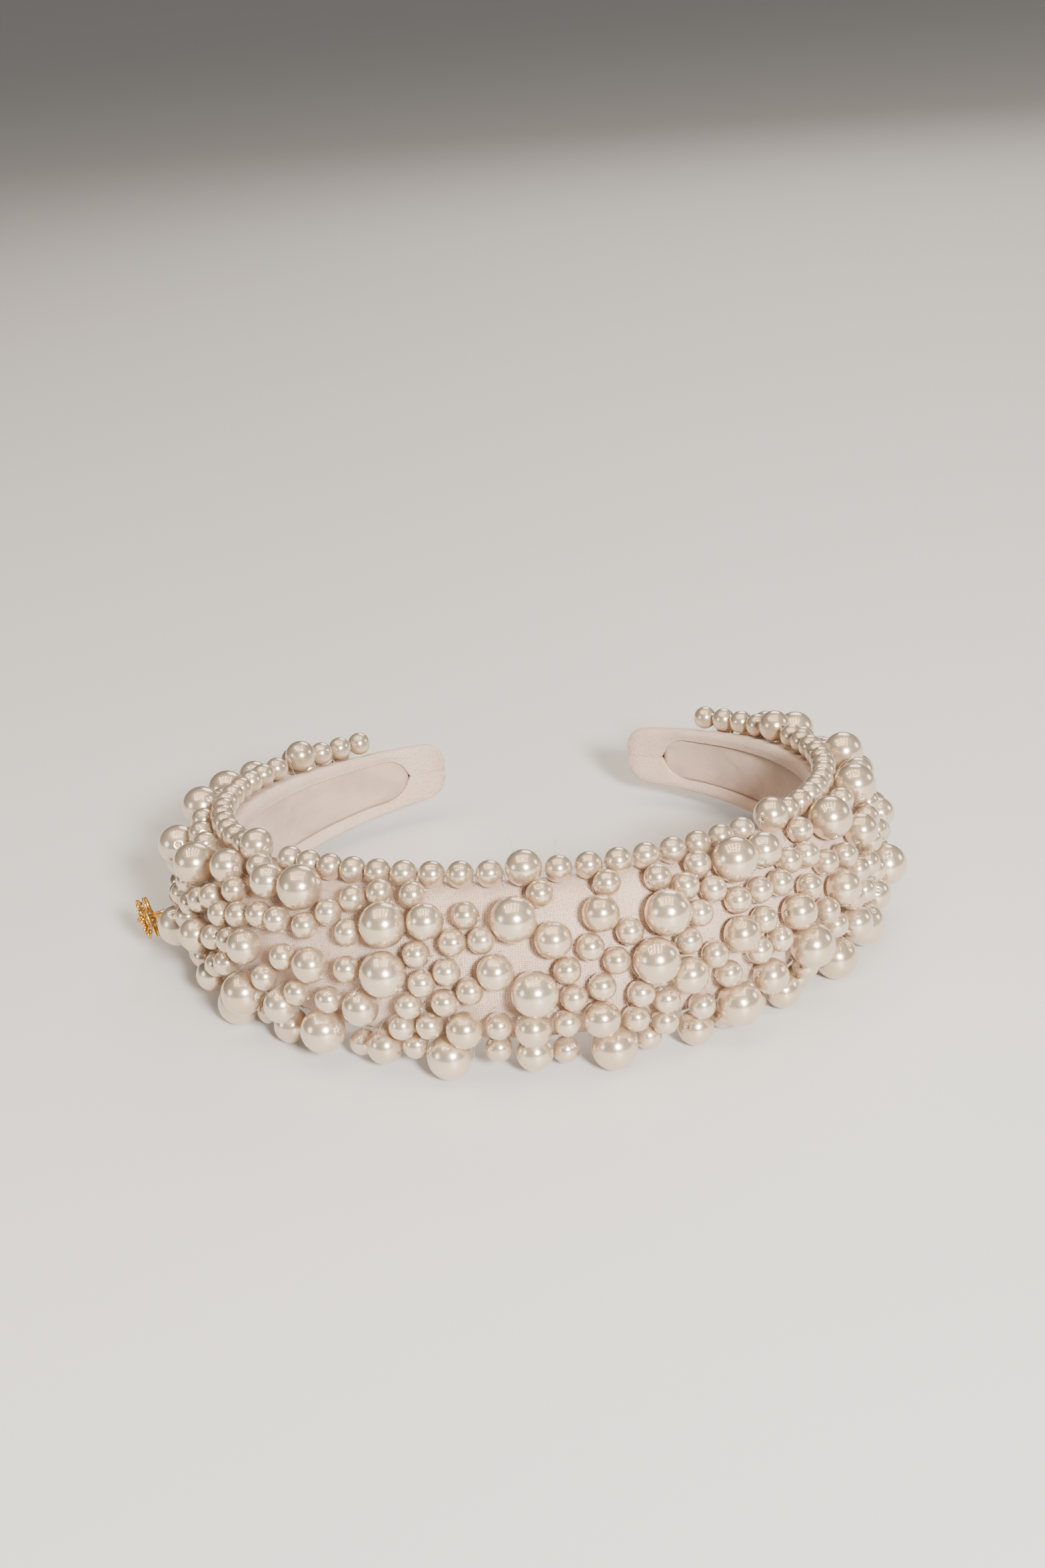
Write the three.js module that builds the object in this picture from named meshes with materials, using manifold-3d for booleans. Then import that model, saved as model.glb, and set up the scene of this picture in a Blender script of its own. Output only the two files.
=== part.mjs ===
// A padded bridal headband studded with faux pearls, lying on its lower edge.
// Millimetres, +Z up. The crown faces -Y and the two open tips point to +Y.
import * as THREE from 'three';
import { mergeVertices } from 'three/addons/utils/BufferGeometryUtils.js';
import Module from 'manifold-3d';

const wasm = await Module();
wasm.setup();

// ---- driving dimensions -------------------------------------------------
const DEG = Math.PI / 180;
const INNER_RADIUS = 68.6; // lining radius at mid-width
const DEEPER = 2.2; // the hoop is this much deeper from crown to tips than a circle
const LEFT_BOW = 3.5; // the left arm is bowed out by this much more than the right one
const CONE = 0.054; // the hoop is this much wider at its lower edge, per mm of height
const TIP_ANGLE = 158.5; // degrees from the crown to each tip
const TILT = 4.6 * DEG; // the crown stands higher than the tips, because it is wider
const TIP_LIFT = 2.6; // the tips sweep up out of the hoop's plane
const CROWN_HALF_WIDTH = 17.5;
const TIP_HALF_WIDTH = 6;
const WIDTH_TAPER = 1.22;
const CROWN_DOME = 11; // height of the padding over the hoop
const TIP_DOME = 4.2;
const DOME_TAPER = [112, 160]; // the padding thins out between these angles
const TIP_ROUND = 6; // degrees of arc taken by each rounded tip
const RIM = 0.6; // depth of the rim before the dome starts to rise
const COVER = 0.9;
const GAP = 0.3; // clear space between neighbouring solids
const FOLD_SHARE = 0.33; // share of the half-width taken by the cover's folded rim
const LINING = [0.35, 1.05]; // inner and outer depth of the lining sheet
const CORE = [1.35, 2.85]; // inner and outer depth of the springy plastic hoop
const FOAM_BASE = 3.15;
const FOAM_END = 140;
const FOAM_EASE = 0.8; // clear space between the foam and the cover
const BAND_END = 150; // the lining and the core end here, and the cover goes on round the tips
const CORE_INSET = 3.2; // the hoop is narrower than the band on each side
const STATIONS = 29; // an odd number, so that one flat facet is centred on the crown
const PEARL_GAP = 0.35;
const SIZES = { s: 3, M: 4, L: 5 }; // pearl radii: 6, 8 and 10 mm pearls
const UPPER_ROW = 79; // where the two edge rows sit on the dome, in degrees
const LOWER_ROW = -72;
const REST = -17.4; // height of the plane the headband lies on, below the hoop's centre
const REST_ROOM = { s: 0.5, M: 0.5, L: 0 }; // only the 10 mm pearls touch that plane
const ROW_END = 142; // the pearls stop short of the bare tips
const LOWER_END = 118; // beyond this angle the lower edge is bare
const ARM_LOWEST = -36; // the lowest pearls there, in degrees on the dome
const THREAD_HEIGHT = 1.7;
const THREAD_RADIUS = 0.42;
const THREAD_REACH = 17;

// ---- shape of the padded band -------------------------------------------
const smooth = (t) => {
  const x = Math.min(1, Math.max(0, t));
  return x * x * (3 - 2 * x);
};

// 1 along the band, falling to a small value round the end of each tip
function tipRound(phi) {
  const into = (Math.abs(phi) / DEG - (TIP_ANGLE - TIP_ROUND)) / TIP_ROUND;
  return into <= 0 ? 1 : Math.sqrt(Math.max(0.06, 1 - into * into));
}

const halfWidth = (phi) =>
  TIP_HALF_WIDTH + (CROWN_HALF_WIDTH - TIP_HALF_WIDTH) * Math.cos(phi / 2) ** WIDTH_TAPER;

const dome = (phi) => {
  const t = (DOME_TAPER[1] - Math.abs(phi) / DEG) / (DOME_TAPER[1] - DOME_TAPER[0]);
  return TIP_DOME + (CROWN_DOME - TIP_DOME) * smooth(t);
};

// A point at angle phi round the hoop, depth r outside the lining, height a across the band
function place(phi, r, a) {
  const radius = INNER_RADIUS + r - CONE * a;
  const bow = phi < 0 ? LEFT_BOW * Math.sin(phi) ** 2 : 0;
  const x = (radius + bow) * Math.sin(phi);
  const y = -(radius + DEEPER) * Math.cos(phi);
  const lift = TIP_LIFT * ((1 - Math.cos(phi)) / 2) ** 2;
  return new THREE.Vector3(
    x,
    y * Math.cos(TILT) + a * Math.sin(TILT),
    lift - y * Math.sin(TILT) + a * Math.cos(TILT),
  );
}

// Depth and height of a point that stands off the dome's surface
function offDome(phi, u, off) {
  const w = halfWidth(phi);
  const t = dome(phi);
  const nr = w * Math.cos(u);
  const na = t * Math.sin(u);
  const n = Math.hypot(nr, na);
  return [RIM + t * Math.cos(u) + (nr / n) * off, w * Math.sin(u) + (na / n) * off];
}

const onBand = (phi, u, off) => place(phi, ...offDome(phi, u, off));

// ---- lofted shells --------------------------------------------------------
// Joins one cross-section, a list of [depth, height], to the next along the band
function loft(angles, section) {
  const rings = angles.map((deg) => section(deg * DEG).map(([r, a]) => place(deg * DEG, r, a)));
  const count = rings[0].length;
  const positions = rings.flat().flatMap((p) => [p.x, p.y, p.z]);
  const index = [];
  for (let i = 0; i + 1 < rings.length; i++) {
    for (let j = 0; j < count; j++) {
      const a = i * count + j;
      const b = i * count + ((j + 1) % count);
      index.push(a, b, b + count, a, b + count, a + count);
    }
  }
  const last = (rings.length - 1) * count;
  for (const [deg, base, flip] of [[angles[0], 0, true], [angles[rings.length - 1], last, false]]) {
    const outline = section(deg * DEG).map(([r, a]) => new THREE.Vector2(r, a));
    for (const [p, q, s] of THREE.ShapeUtils.triangulateShape(outline, [])) {
      index.push(base + p, base + (flip ? s : q), base + (flip ? q : s));
    }
  }
  const geometry = new THREE.BufferGeometry();
  geometry.setAttribute('position', new THREE.Float32BufferAttribute(positions, 3));
  geometry.setIndex(index);
  return facingOut(geometry);
}

function facingOut(geometry) {
  const p = geometry.attributes.position;
  const idx = geometry.index.array;
  const [a, b, c] = [new THREE.Vector3(), new THREE.Vector3(), new THREE.Vector3()];
  let volume = 0;
  for (let i = 0; i < idx.length; i += 3) {
    a.fromBufferAttribute(p, idx[i]);
    b.fromBufferAttribute(p, idx[i + 1]);
    c.fromBufferAttribute(p, idx[i + 2]);
    volume += a.dot(b.cross(c));
  }
  if (volume < 0) {
    for (let i = 0; i < idx.length; i += 3) [idx[i + 1], idx[i + 2]] = [idx[i + 2], idx[i + 1]];
  }
  return geometry;
}

// Even steps along the band, shared by every layer so that their facets stay parallel
const BAND_ANGLES = Array.from({ length: STATIONS + 1 }, (_, i) => BAND_END * ((2 * i) / STATIONS - 1));

const rectangle = (low, high, half) => [[low, -half], [high, -half], [high, half], [low, half]];

// Half-width of the lining, constant near the tips so that its faces there are flat
const liningHalf = (phi) => {
  const flat = Math.min(Math.abs(phi), 140 * DEG);
  return halfWidth(flat) * (1 - FOLD_SHARE) - GAP;
};

function innerLining() {
  return loft(BAND_ANGLES, (phi) => rectangle(...LINING, liningHalf(phi)));
}

function coreHoop() {
  return loft(BAND_ANGLES, (phi) => rectangle(...CORE, halfWidth(phi) - CORE_INSET));
}

// Half an ellipse across the band, from the lower rim over the top to the upper rim
function arch(half, height, from, to, count) {
  return Array.from({ length: count }, (_, i) => {
    const u = from + ((to - from) * i) / (count - 1);
    return [RIM + height * Math.cos(u), half * Math.sin(u)];
  });
}

function foamPad() {
  const section = (phi) => {
    const half = halfWidth(phi) - COVER - FOAM_EASE;
    const height = dome(phi) - COVER - FOAM_EASE;
    const edge = Math.acos((FOAM_BASE - RIM) / height);
    return arch(half, height, -edge, edge, 7);
  };
  return loft(BAND_ANGLES.filter((deg) => Math.abs(deg) <= FOAM_END), section);
}

// The cover wraps the dome, turns over both rims and is folded flat on the inside
function outerCover() {
  const roundedEnd = [7, 4, 2, 0.7, 0].map((d) => TIP_ANGLE - d);
  const angles = [...roundedEnd.map((d) => -d).reverse(), ...BAND_ANGLES, ...roundedEnd];
  const section = (phi) => {
    const squeeze = tipRound(phi);
    const half = halfWidth(phi) * squeeze;
    const height = dome(phi) * (0.35 + 0.65 * squeeze);
    const open = Math.abs(phi) > (BAND_END + 1) * DEG ? 0.25 : liningHalf(phi) + GAP;
    const thin = COVER * (0.45 + 0.55 * squeeze);
    const turn = half - thin;
    const outside = arch(half, height, -90 * DEG, 90 * DEG, 9);
    const inside = arch(turn, height - thin, 80 * DEG, -80 * DEG, 7);
    return [[0, -open], [0, -turn], ...outside, [0, turn], [0, open], [thin, open],
      [thin, turn - 0.5], ...inside, [thin, -turn + 0.5], [thin, -open]];
  };
  return loft(angles, section);
}

// ---- beading ---------------------------------------------------------------
// The pattern card: each string is one row, read from the crown out to the tip in steps of
// 2 degrees, and the rows run from the upper edge of the dome to the lower one.
const CARD_STEP = 2;
const CARD_ROWS = [66, 54, 42, 30, 18, 6, -6, -18, -30, -42, -54, -66];
const CARD_LEFT = [
  '............................M.............................M',
  '...s..s..s..s.s....L...M........................L...............M',
  '....s..M...L....s..........s......L....................L',
  '.s...s..s.....s...s..s.s..s................L.....................L',
  '..M.................................................M',
  '....s.s...L...s..M..s...M.....................M.................M',
  '......s.s.......................M.....................L',
  '.........s...M..s..s..s...............L',
  '..s..M..s.s..........M...L.........................M........L',
  '.................L..............M..........M..................M',
  '...s...L..s.M...............L..................L',
  '...............s......M................M..................L',
];
const CARD_RIGHT = [
  '...............................................................M',
  '..s.s...s.ss.s.s.L...M....s...L........L..........L',
  'L..s..M...L....s.......s.s....................M.............L',
  '....s..s.....s..s..s.s............M.......................M',
  '..M.....................s',
  '.s....s..L..s...M.s...M.....M................M......L',
  'L..s.s......M.s...s.s.....s.................................M',
  '........s......s.......L...s...........L.............M',
  'M.s..M....s........M.................M.............L........L',
  '.......s..s..s..L..............M.L............M',
  'M.....L......................L.............L',
  '..s......s...M..s.....M..s.........................L',
];
// 8 mm pearls sewn into the upper edge row, in degrees from the crown
const EDGE_MEDIUM = [0, 50, -56, 118, -124];
// Loose pearls fill the dome outside this sector, and its lowest stretch everywhere
const FILL_FROM = { left: 44, right: 41 };
const FILL_BELOW = -52;

function pearlAt(size, deg, rowDeg) {
  const bead = { size, radius: SIZES[size], phi: deg * DEG, u: rowDeg * DEG };
  return seat(bead);
}

// Works out the centre and the thread point of a pearl from its place on the dome, and moves
// it up the dome where it would hang below the plane the headband lies on
function seat(bead) {
  const lowest = REST + bead.radius + (REST_ROOM[bead.size] ?? 0);
  bead.centre = onBand(bead.phi, bead.u, bead.radius + PEARL_GAP);
  while (bead.centre.z < lowest) {
    bead.u += 0.25 * DEG;
    bead.centre = onBand(bead.phi, bead.u, bead.radius + PEARL_GAP);
  }
  bead.foot = onBand(bead.phi, bead.u, THREAD_HEIGHT);
  return bead;
}

const spacing = (a, b) => a.centre.distanceTo(b.centre) - a.radius - b.radius - PEARL_GAP;

const fits = (bead, others) => others.every((other) => spacing(bead, other) >= 0);

// A neat row along one rim, from the crown outwards on both sides
function edgeRow(rowDeg, mediums, end) {
  const row = mediums.map((deg) => pearlAt('M', deg, rowDeg));
  for (const side of [1, -1]) {
    for (let deg = 0; deg <= end; deg += 0.1) {
      const bead = pearlAt('s', side * deg, rowDeg);
      if (fits(bead, row)) row.push(bead);
    }
  }
  return row;
}

function readCard() {
  const beads = [];
  for (const [card, side] of [[CARD_LEFT, -1], [CARD_RIGHT, 1]]) {
    card.forEach((line, row) => [...line].forEach((mark, column) => {
      if (mark !== '.') beads.push(pearlAt(mark, side * column * CARD_STEP, CARD_ROWS[row]));
    }));
  }
  return beads;
}

// Pushes crowded pearls apart along the dome, the smaller one giving way more
function relax(beads, fixed) {
  for (let round = 0; round < 80; round++) {
    for (const bead of beads) {
      for (const other of [...beads, ...fixed]) {
        if (other === bead) continue;
        const lack = -spacing(bead, other);
        if (lack <= 0) continue;
        const share = other.radius / (other.radius + bead.radius);
        const away = bead.centre.clone().sub(other.centre).normalize().multiplyScalar(lack * share);
        slide(bead, away);
      }
    }
  }
}

// Moves a pearl on the dome by about the given vector
function slide(bead, move) {
  const step = 0.01;
  const along = onBand(bead.phi + step, bead.u, bead.radius).sub(onBand(bead.phi, bead.u, bead.radius));
  const across = onBand(bead.phi, bead.u + step, bead.radius).sub(onBand(bead.phi, bead.u, bead.radius));
  bead.phi += (step * move.dot(along)) / along.lengthSq();
  bead.u += (step * move.dot(across)) / across.lengthSq();
  bead.u = Math.min(68 * DEG, Math.max(-68 * DEG, bead.u));
  seat(bead);
}

// Small pearls go wherever there is room for one
function fill(taken) {
  const added = [];
  for (const [side, from] of [[-1, FILL_FROM.left], [1, FILL_FROM.right]]) {
    for (let deg = 0; deg <= ROW_END - 2; deg += 1) {
      for (let rowDeg = 64; rowDeg >= -64; rowDeg -= 4) {
        if (deg < from && rowDeg > FILL_BELOW) continue;
        if (deg > LOWER_END && rowDeg < ARM_LOWEST) continue;
        const bead = pearlAt('s', side * deg, rowDeg);
        if (fits(bead, taken) && fits(bead, added)) added.push(bead);
      }
    }
  }
  return added;
}

function layOutPearls() {
  const upper = edgeRow(UPPER_ROW, EDGE_MEDIUM, ROW_END);
  const lower = edgeRow(LOWER_ROW, [], LOWER_END);
  const card = readCard();
  relax(card, [...upper, rosetteKeepOut()]);
  const order = [...card].sort((a, b) => b.radius - a.radius);
  const kept = [];
  for (const bead of order) if (clearOf(bead, [...kept, ...upper])) kept.push(bead);
  const lowerKept = lower.filter((bead) => fits(bead, kept));
  const taken = [...kept, ...upper, ...lowerKept, rosetteKeepOut()];
  return { upper, lower: lowerKept, field: [...kept, ...fill(taken)] };
}

const clearOf = (bead, others) => others.every((other) => spacing(bead, other) > -0.1);

// ---- the gold rosette --------------------------------------------------------
const ROSETTE = { phi: -83 * DEG, u: -17 * DEG, standoff: 12.5, loops: 6, loop: 1.75, wire: 0.42 };
const SHANK_RADIUS = 0.8;
const SHANK_ROOM = 1.7; // radius of the bare spot round the foot of the shank

// The rosette's shank stands between the pearls, so they keep clear of it
function rosetteKeepOut() {
  return seat({ radius: SHANK_ROOM, phi: ROSETTE.phi, u: ROSETTE.u });
}

// Openwork of wire loops round a ball, on a shank that goes down to the cover
function goldRosette() {
  const ring = 2 * ROSETTE.loop;
  const shank = new THREE.CylinderGeometry(SHANK_RADIUS, SHANK_RADIUS, ROSETTE.standoff - PEARL_GAP, 6);
  shank.rotateX(Math.PI / 2).translate(0, 0, -(ROSETTE.standoff - PEARL_GAP) / 2);
  const pieces = [new THREE.IcosahedronGeometry(ring - ROSETTE.loop, 0), shank];
  for (let i = 0; i < ROSETTE.loops; i++) {
    const turn = (i * 2 * Math.PI) / ROSETTE.loops;
    const loop = new THREE.TorusGeometry(ROSETTE.loop, ROSETTE.wire, 3, 7);
    pieces.push(loop.translate(ring * Math.cos(turn), ring * Math.sin(turn), 0));
  }
  const outward = onBand(ROSETTE.phi, ROSETTE.u, 1).sub(onBand(ROSETTE.phi, ROSETTE.u, 0));
  const turned = new THREE.Quaternion().setFromUnitVectors(new THREE.Vector3(0, 0, 1), outward);
  const centre = onBand(ROSETTE.phi, ROSETTE.u, ROSETTE.standoff);
  return joined(pieces.map((piece) => {
    piece.applyQuaternion(turned).translate(centre.x, centre.y, centre.z);
    return toSolid(piece);
  }));
}

const pearlShapes = {
  s: () => new THREE.IcosahedronGeometry(SIZES.s * 1.03, 0),
  M: () => new THREE.IcosahedronGeometry(SIZES.M * 1.03, 0),
  L: () => new THREE.IcosahedronGeometry(SIZES.L, 1),
};

function toSolid(geometry) {
  const bare = geometry.clone();
  bare.deleteAttribute('normal');
  bare.deleteAttribute('uv');
  const merged = mergeVertices(bare, 1e-4);
  return new wasm.Manifold(new wasm.Mesh({
    numProp: 3,
    vertProperties: new Float32Array(merged.attributes.position.array),
    triVerts: new Uint32Array(merged.index.array),
  }));
}

function toGeometry(solid) {
  const mesh = solid.getMesh();
  const geometry = new THREE.BufferGeometry();
  geometry.setAttribute('position', new THREE.BufferAttribute(mesh.vertProperties, 3));
  geometry.setIndex(new THREE.BufferAttribute(mesh.triVerts, 1));
  return geometry;
}

const joined = (solids) => solids.reduce((sum, solid) => sum.add(solid));

function pearlSolid(bead) {
  const shape = pearlShapes[bead.size]();
  const outward = bead.centre.clone().sub(bead.foot).normalize();
  shape.applyQuaternion(new THREE.Quaternion().setFromUnitVectors(new THREE.Vector3(0, 0, 1), outward));
  return toSolid(shape.translate(bead.centre.x, bead.centre.y, bead.centre.z));
}

function threadSolid(from, to) {
  const along = to.clone().sub(from);
  const rod = new THREE.CylinderGeometry(THREAD_RADIUS, THREAD_RADIUS, along.length(), 3);
  rod.applyQuaternion(new THREE.Quaternion().setFromUnitVectors(new THREE.Vector3(0, 1, 0), along.normalize()));
  const middle = from.clone().add(to).multiplyScalar(0.5);
  return toSolid(rod.translate(middle.x, middle.y, middle.z));
}

// ---- threading the pearls together ---------------------------------------
const SECTOR = 42; // degrees of arc sewn with one length of thread

function segmentDistance(point, from, to) {
  return new THREE.Line3(from, to).closestPointToPoint(point, true, new THREE.Vector3()).distanceTo(point);
}

// Shortest links first, each only where the thread clears every other pearl
function threadLinks(beads, all) {
  const pairs = [];
  for (let i = 0; i < beads.length; i++) {
    for (let j = i + 1; j < beads.length; j++) {
      const length = beads[i].foot.distanceTo(beads[j].foot);
      if (length <= THREAD_REACH) pairs.push({ i, j, length });
    }
  }
  pairs.sort((p, q) => p.length - q.length);
  const group = beads.map((_, i) => i);
  const find = (i) => (group[i] === i ? i : (group[i] = find(group[i])));
  const links = [];
  for (const { i, j } of pairs) {
    if (find(i) === find(j)) continue;
    const blocked = all.some((other) => other !== beads[i] && other !== beads[j]
      && segmentDistance(other.centre, beads[i].foot, beads[j].foot)
        < other.radius + THREAD_RADIUS + GAP);
    if (blocked) continue;
    group[find(i)] = find(j);
    links.push([i, j]);
  }
  const strands = new Map();
  beads.forEach((bead, i) => {
    const key = find(i);
    if (!strands.has(key)) strands.set(key, { beads: [], links: [] });
    strands.get(key).beads.push(bead);
  });
  for (const [i, j] of links) strands.get(find(i)).links.push([beads[i].foot, beads[j].foot]);
  return [...strands.values()];
}

function strandSolid(strand) {
  const pearls = strand.beads.map(pearlSolid);
  const threads = strand.links.map(([from, to]) => threadSolid(from, to));
  return joined([...pearls, ...threads]);
}

// ---- assembly -----------------------------------------------------------------
const fabric = new THREE.MeshStandardMaterial({ color: 0xe2d2c6, roughness: 0.9 });
const velvet = new THREE.MeshStandardMaterial({ color: 0xc3aea2, roughness: 1 });
const plastic = new THREE.MeshStandardMaterial({ color: 0xf2f0ea, roughness: 0.5 });
const foam = new THREE.MeshStandardMaterial({ color: 0xf7efd2, roughness: 1 });
const pearl = new THREE.MeshStandardMaterial({ color: 0xeee3cf, roughness: 0.22, metalness: 0.25 });
const gold = new THREE.MeshStandardMaterial({ color: 0xd4a548, roughness: 0.3, metalness: 1 });

const headband = new THREE.Group();

function addNode(name, geometry, material) {
  const mesh = new THREE.Mesh(geometry, material);
  mesh.name = name;
  headband.add(mesh);
}

const twoDigits = (n) => String(n).padStart(2, '0');

addNode('core_hoop', coreHoop(), plastic);
addNode('foam_pad', foamPad(), foam);
addNode('outer_cover', outerCover(), fabric);
addNode('inner_lining', innerLining(), velvet);

const pearls = layOutPearls();
const everyPearl = [...pearls.upper, ...pearls.lower, ...pearls.field];
const large = pearls.field.filter((bead) => bead.size === 'L').sort((a, b) => a.phi - b.phi);
large.forEach((bead, i) => addNode(`pearl_10mm_${twoDigits(i + 1)}`, toGeometry(pearlSolid(bead)), pearl));

const small = pearls.field.filter((bead) => bead.size !== 'L');
const strandsOf = (name, beads) => {
  const strands = threadLinks(beads, everyPearl);
  strands.forEach((strand, i) => {
    const label = strands.length > 1 ? `${name}_${twoDigits(i + 1)}` : name;
    addNode(label, toGeometry(strandSolid(strand)), pearl);
  });
};
strandsOf('upper_edge_row', pearls.upper);
const sectors = new Map();
for (const bead of [...pearls.lower, ...small]) {
  const key = Math.round(THREE.MathUtils.clamp(bead.phi / DEG / SECTOR, -3, 3));
  if (!sectors.has(key)) sectors.set(key, []);
  sectors.get(key).push(bead);
}
[...sectors.keys()].sort((a, b) => a - b).forEach((key) => {
  const side = key < 0 ? `left_${-key}` : key > 0 ? `right_${key}` : 'front';
  strandsOf(`pearl_cluster_${side}`, sectors.get(key));
});

addNode('gold_rosette', toGeometry(goldRosette()), gold);

const box = new THREE.Box3().setFromObject(headband);
const middle = box.getCenter(new THREE.Vector3());
headband.position.set(-middle.x, -middle.y, -box.min.z);

export default headband;
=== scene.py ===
import math
import random

import bpy
import numpy as np
from mathutils import Matrix, Vector


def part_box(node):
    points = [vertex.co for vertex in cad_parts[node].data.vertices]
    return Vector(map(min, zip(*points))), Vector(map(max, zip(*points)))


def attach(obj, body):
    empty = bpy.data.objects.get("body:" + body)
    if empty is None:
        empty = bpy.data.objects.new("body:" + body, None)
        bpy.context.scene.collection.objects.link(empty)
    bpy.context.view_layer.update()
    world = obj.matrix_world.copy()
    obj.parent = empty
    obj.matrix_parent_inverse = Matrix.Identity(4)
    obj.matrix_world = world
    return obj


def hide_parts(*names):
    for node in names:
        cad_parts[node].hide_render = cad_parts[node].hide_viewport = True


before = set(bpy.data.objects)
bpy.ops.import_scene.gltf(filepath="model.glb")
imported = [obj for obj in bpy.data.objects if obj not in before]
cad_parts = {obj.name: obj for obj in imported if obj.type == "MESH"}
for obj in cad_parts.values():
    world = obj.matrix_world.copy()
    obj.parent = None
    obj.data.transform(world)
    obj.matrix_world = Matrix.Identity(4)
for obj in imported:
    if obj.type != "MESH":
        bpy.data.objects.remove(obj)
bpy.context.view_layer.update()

# Everything below is worked out in millimetres and turned into metres when a mesh is made.
MM = 0.001
DEG = math.pi / 180

# ---- the design's dimensions, as in the CAD part -----------------------------
INNER_RADIUS = 68.6
DEEPER = 2.2
LEFT_BOW = 3.5
CONE = 0.054
TIP_ANGLE = 158.5
TILT = 4.6 * DEG
TIP_LIFT = 2.6
CROWN_HALF_WIDTH = 17.5
TIP_HALF_WIDTH = 6
WIDTH_TAPER = 1.22
CROWN_DOME = 11
TIP_DOME = 4.2
DOME_TAPER = (112, 160)
TIP_ROUND = 6
RIM = 0.6
COVER = 0.9
GAP = 0.3
FOLD_SHARE = 0.33
CORE = (1.35, 2.85)
CORE_INSET = 3.2
BAND_END = 150
STATIONS = 29
FOAM_BASE = 3.15
FOAM_END = 140
FOAM_EASE = 0.8
PEARL_GAP = 0.35
SIZES = {"s": 3, "M": 4, "L": 5}
UPPER_ROW = 79
LOWER_ROW = -72
REST = -17.4
REST_ROOM = {"s": 0.5, "M": 0.5, "L": 0}
ROW_END = 142
LOWER_END = 118
ARM_LOWEST = -36
SECTOR = 42


def smooth(t):
    x = min(1, max(0, t))
    return x * x * (3 - 2 * x)


def half_width(phi):
    return TIP_HALF_WIDTH + (CROWN_HALF_WIDTH - TIP_HALF_WIDTH) * math.cos(phi / 2) ** WIDTH_TAPER


def dome(phi):
    t = (DOME_TAPER[1] - abs(phi) / DEG) / (DOME_TAPER[1] - DOME_TAPER[0])
    return TIP_DOME + (CROWN_DOME - TIP_DOME) * smooth(t)


def lining_half(phi):
    return half_width(min(abs(phi), 140 * DEG)) * (1 - FOLD_SHARE) - GAP


def place(phi, r, a):
    """A point at angle phi round the hoop, depth r outside the lining, height a across the band."""
    radius = INNER_RADIUS + r - CONE * a
    bow = LEFT_BOW * math.sin(phi) ** 2 if phi < 0 else 0
    x = (radius + bow) * math.sin(phi)
    y = -(radius + DEEPER) * math.cos(phi)
    lift = TIP_LIFT * ((1 - math.cos(phi)) / 2) ** 2
    return np.array([
        x,
        y * math.cos(TILT) + a * math.sin(TILT),
        lift - y * math.sin(TILT) + a * math.cos(TILT),
    ])


def off_dome(phi, u, off):
    """Depth and height of a point that stands off the dome's surface."""
    w = half_width(phi)
    t = dome(phi)
    nr = w * math.cos(u)
    na = t * math.sin(u)
    n = math.hypot(nr, na)
    return RIM + t * math.cos(u) + (nr / n) * off, w * math.sin(u) + (na / n) * off


def on_band(phi, u, off):
    return place(phi, *off_dome(phi, u, off))


def frame_shift():
    """From the hoop's own centre to the row frame, read off the CAD hoop."""
    corners = []
    for i in range(STATIONS + 1):
        phi = BAND_END * (2 * i / STATIONS - 1) * DEG
        half = half_width(phi) - CORE_INSET
        corners += [place(phi, r, a) for r in CORE for a in (-half, half)]
    return np.array(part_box("core_hoop")[0]) / MM - np.min(corners, axis=0)


SHIFT = frame_shift()

# ---- where every pearl sits ----------------------------------------------------
# The pattern card: each string is one row, read from the crown out to the tip in steps of
# CARD_STEP degrees, and CARD_ROWS gives each row's angle on the dome. Most of its marks were
# printed by a program from pearl positions measured in the photo; the rest were put in one by one.
CARD_STEP = 2
CARD_ROWS = [66, 54, 42, 30, 18, 6, -6, -18, -30, -42, -54, -66]
CARD_LEFT = [
    "............................M.............................M",
    "...s..s..s..s.s....L...M........................L...............M",
    "....s..M...L....s..........s......L....................L",
    ".s...s..s.....s...s..s.s..s................L.....................L",
    "..M.................................................M",
    "....s.s...L...s..M..s...M.....................M.................M",
    "......s.s.......................M.....................L",
    ".........s...M..s..s..s...............L",
    "..s..M..s.s..........M...L.........................M........L",
    ".................L..............M..........M..................M",
    "...s...L..s.M...............L..................L",
    "...............s......M................M..................L",
]
CARD_RIGHT = [
    "...............................................................M",
    "..s.s...s.ss.s.s.L...M....s...L........L..........L",
    "L..s..M...L....s.......s.s....................M.............L",
    "....s..s.....s..s..s.s............M.......................M",
    "..M.....................s",
    ".s....s..L..s...M.s...M.....M................M......L",
    "L..s.s......M.s...s.s.....s.................................M",
    "........s......s.......L...s...........L.............M",
    "M.s..M....s........M.................M.............L........L",
    ".......s..s..s..L..............M.L............M",
    "M.....L......................L.............L",
    "..s......s...M..s.....M..s.........................L",
]
EDGE_MEDIUM = [0, 50, -56, 118, -124]
# fill() adds no pearl nearer the crown than this many degrees, left -1 and right 1, except at
# FILL_BELOW and lower
FILL_FROM = {-1: 44, 1: 41}
FILL_BELOW = -52
ROSETTE_PHI = -83 * DEG
ROSETTE_U = -17 * DEG
ROSETTE_STANDOFF = 12.5
SHANK_ROOM = 1.7


class Bead:
    def __init__(self, size, radius, phi, u):
        self.size = size
        self.radius = radius
        self.phi = phi
        self.u = u
        self.seat()

    def seat(self):
        lowest = REST + self.radius + REST_ROOM.get(self.size, 0)
        self.centre = on_band(self.phi, self.u, self.radius + PEARL_GAP)
        while self.centre[2] < lowest:
            self.u += 0.25 * DEG
            self.centre = on_band(self.phi, self.u, self.radius + PEARL_GAP)


def bead_at(size, deg, row_deg):
    return Bead(size, SIZES[size], deg * DEG, row_deg * DEG)


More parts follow.
